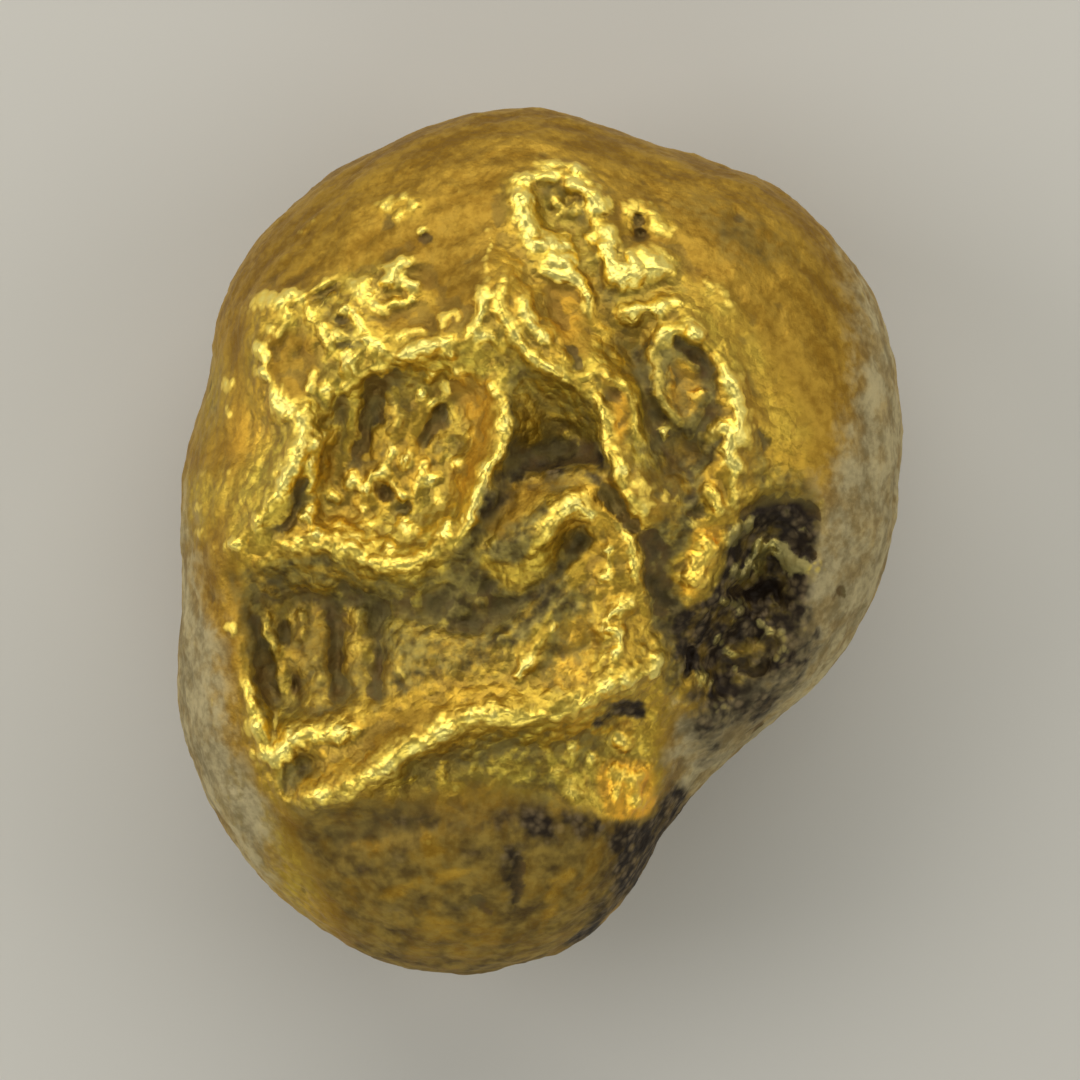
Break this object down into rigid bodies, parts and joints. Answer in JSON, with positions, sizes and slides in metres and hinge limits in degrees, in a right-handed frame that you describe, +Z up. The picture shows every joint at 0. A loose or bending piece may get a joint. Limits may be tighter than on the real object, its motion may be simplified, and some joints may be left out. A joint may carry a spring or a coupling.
{
  "type": "gold nugget",
  "caption": "Water-worn placer gold nugget: a thick rounded lump with folds and hollows in its upper face, lying on a small flat worn spot.",
  "frame": {"origin": "on the surface the nugget rests on, under the middle of its outline", "axes": "+Z up from the resting face; +Y along the nugget, towards its broad end; +X across it"},
  "size_m": [0.0124, 0.015, 0.0077],
  "materials": {
    "native_gold": "worn metal, bright on the folds and satin on the rim"
  },
  "bodies": {
    "root": {"nugget": "native_gold"}
  },
  "joints": []
}
